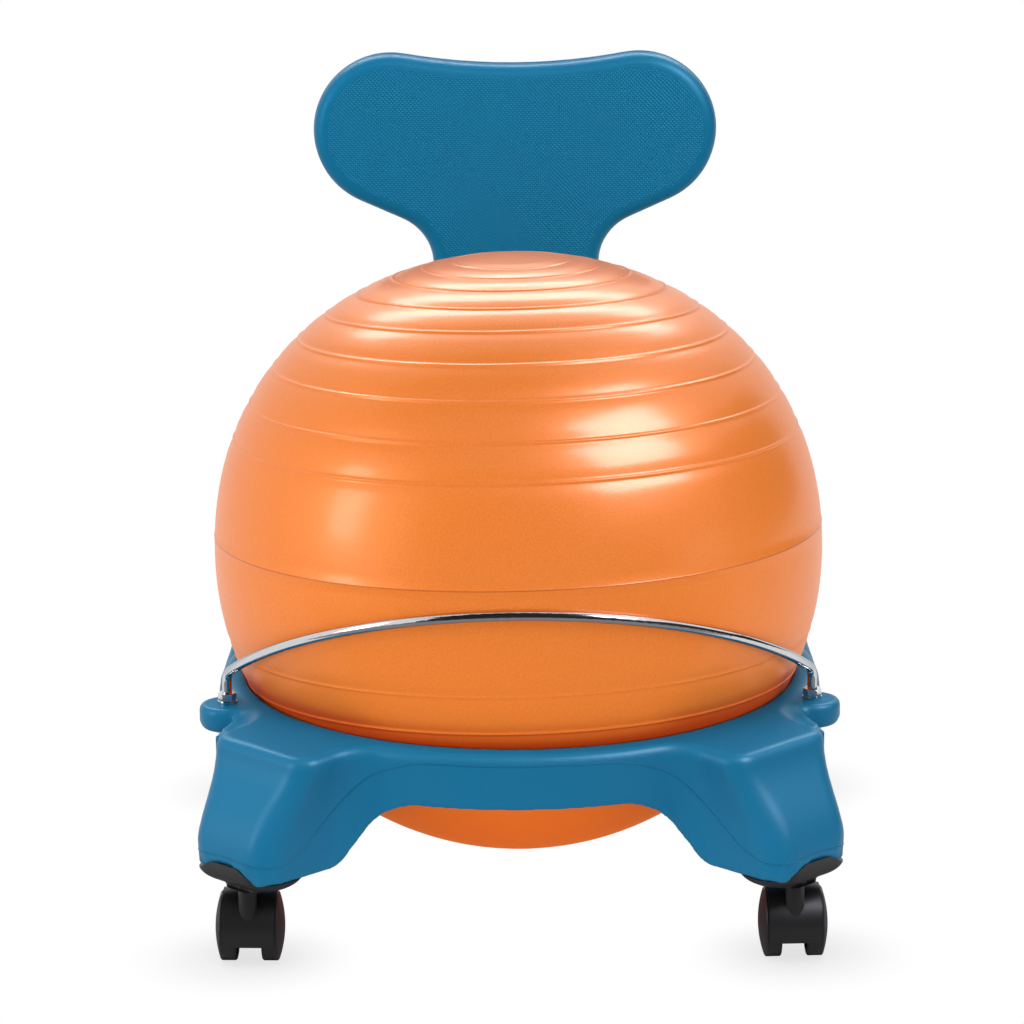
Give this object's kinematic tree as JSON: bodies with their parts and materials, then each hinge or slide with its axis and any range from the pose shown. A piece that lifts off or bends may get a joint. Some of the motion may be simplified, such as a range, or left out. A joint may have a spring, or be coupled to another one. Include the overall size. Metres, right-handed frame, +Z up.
{
  "type": "balance ball chair",
  "caption": "Child's chair: an inflated ball in a plastic ring base with legs on swivel casters, a bent steel bar round its front and an upright backrest.",
  "frame": {"origin": "middle of the footprint on the floor, under the wheels' lowest points", "axes": "+Z up, +X to the right seen from the front, the front of the chair faces -Y"},
  "size_m": [0.3968, 0.431, 0.4898],
  "materials": {
    "blue_plastic": "satin blow-moulded polyethylene, blue",
    "ball_vinyl": "satin pearly vinyl, orange",
    "plug_plastic": "off-white moulded plastic",
    "black_plastic": "black nylon, fine moulded grain",
    "wheel_plastic": "black nylon, smooth",
    "chrome_bar": "bright plated steel",
    "zinc_steel": "zinc plated steel",
    "insert_brass": "turned brass"
  },
  "bodies": {
    "chair": {"base_shell": "blue_plastic", "backrest_shell": "blue_plastic", "backrest_bolts": "zinc_steel", "backrest_washers": "zinc_steel", "backrest_inserts": "insert_brass", "support_bar": "chrome_bar", "bar_upper_nuts": "zinc_steel", "bar_lower_nuts": "zinc_steel", "bar_upper_washers": "zinc_steel", "bar_lower_washers": "zinc_steel", "leg_cap_front_left": "black_plastic", "caster_stem_front_left": "zinc_steel", "grip_ring_front_left": "zinc_steel", "leg_cap_front_right": "black_plastic", "caster_stem_front_right": "zinc_steel", "grip_ring_front_right": "zinc_steel", "leg_cap_rear_left": "black_plastic", "caster_stem_rear_left": "zinc_steel", "grip_ring_rear_left": "zinc_steel", "leg_cap_rear_right": "black_plastic", "caster_stem_rear_right": "zinc_steel", "grip_ring_rear_right": "zinc_steel"},
    "ball": {"ball_shell": "ball_vinyl"},
    "valve": {"valve_plug": "plug_plastic"},
    "caster_front_left": {"caster_hood_front_left": "black_plastic", "axle_front_left": "zinc_steel"},
    "outer_wheel_body_front_left": {"outer_wheel_front_left": "wheel_plastic"},
    "inner_wheel_body_front_left": {"inner_wheel_front_left": "wheel_plastic"},
    "caster_front_right": {"caster_hood_front_right": "black_plastic", "axle_front_right": "zinc_steel"},
    "outer_wheel_body_front_right": {"outer_wheel_front_right": "wheel_plastic"},
    "inner_wheel_body_front_right": {"inner_wheel_front_right": "wheel_plastic"},
    "caster_rear_left": {"caster_hood_rear_left": "black_plastic", "axle_rear_left": "zinc_steel"},
    "outer_wheel_body_rear_left": {"outer_wheel_rear_left": "wheel_plastic"},
    "inner_wheel_body_rear_left": {"inner_wheel_rear_left": "wheel_plastic"},
    "caster_rear_right": {"caster_hood_rear_right": "black_plastic", "axle_rear_right": "zinc_steel"},
    "outer_wheel_body_rear_right": {"outer_wheel_rear_right": "wheel_plastic"},
    "inner_wheel_body_rear_right": {"inner_wheel_rear_right": "wheel_plastic"}
  },
  "joints": [
    {"name": "ball_lift", "type": "slide", "parent": "chair", "child": "ball", "axis": [0, 0, 1], "range_m": [0, 0.22]},
    {"name": "valve_plug_pull", "type": "slide", "parent": "ball", "child": "valve", "axis": [0, -0.1011, -0.9949], "range_m": [0, 0.02]},
    {"name": "caster_swivel_front_left", "type": "hinge", "parent": "chair", "child": "caster_front_left", "pos_m": [-0.16652, -0.18475, 0.043], "axis": [0, 0, 1], "continuous": true},
    {"name": "outer_wheel_spin_front_left", "type": "hinge", "parent": "caster_front_left", "child": "outer_wheel_body_front_left", "pos_m": [-0.16584, -0.16926, 0.0215], "axis": [0.999, -0.0436, 0], "continuous": true},
    {"name": "inner_wheel_spin_front_left", "type": "hinge", "parent": "caster_front_left", "child": "inner_wheel_body_front_left", "pos_m": [-0.16584, -0.16926, 0.0215], "axis": [0.999, -0.0436, 0], "continuous": true},
    {"name": "caster_swivel_front_right", "type": "hinge", "parent": "chair", "child": "caster_front_right", "pos_m": [0.16652, -0.18475, 0.043], "axis": [0, 0, 1], "continuous": true},
    {"name": "outer_wheel_spin_front_right", "type": "hinge", "parent": "caster_front_right", "child": "outer_wheel_body_front_right", "pos_m": [0.16584, -0.16926, 0.0215], "axis": [0.999, 0.0436, 0], "continuous": true},
    {"name": "inner_wheel_spin_front_right", "type": "hinge", "parent": "caster_front_right", "child": "inner_wheel_body_front_right", "pos_m": [0.16584, -0.16926, 0.0215], "axis": [0.999, 0.0436, 0], "continuous": true},
    {"name": "caster_swivel_rear_left", "type": "hinge", "parent": "chair", "child": "caster_rear_left", "pos_m": [-0.16652, 0.14829, 0.043], "axis": [0, 0, 1], "continuous": true},
    {"name": "outer_wheel_spin_rear_left", "type": "hinge", "parent": "caster_rear_left", "child": "outer_wheel_body_rear_left", "pos_m": [-0.16584, 0.16377, 0.0215], "axis": [0.999, -0.0436, 0], "continuous": true},
    {"name": "inner_wheel_spin_rear_left", "type": "hinge", "parent": "caster_rear_left", "child": "inner_wheel_body_rear_left", "pos_m": [-0.16584, 0.16377, 0.0215], "axis": [0.999, -0.0436, 0], "continuous": true},
    {"name": "caster_swivel_rear_right", "type": "hinge", "parent": "chair", "child": "caster_rear_right", "pos_m": [0.16652, 0.14829, 0.043], "axis": [0, 0, 1], "continuous": true},
    {"name": "outer_wheel_spin_rear_right", "type": "hinge", "parent": "caster_rear_right", "child": "outer_wheel_body_rear_right", "pos_m": [0.16584, 0.16377, 0.0215], "axis": [0.999, 0.0436, 0], "continuous": true},
    {"name": "inner_wheel_spin_rear_right", "type": "hinge", "parent": "caster_rear_right", "child": "inner_wheel_body_rear_right", "pos_m": [0.16584, 0.16377, 0.0215], "axis": [0.999, 0.0436, 0], "continuous": true}
  ]
}
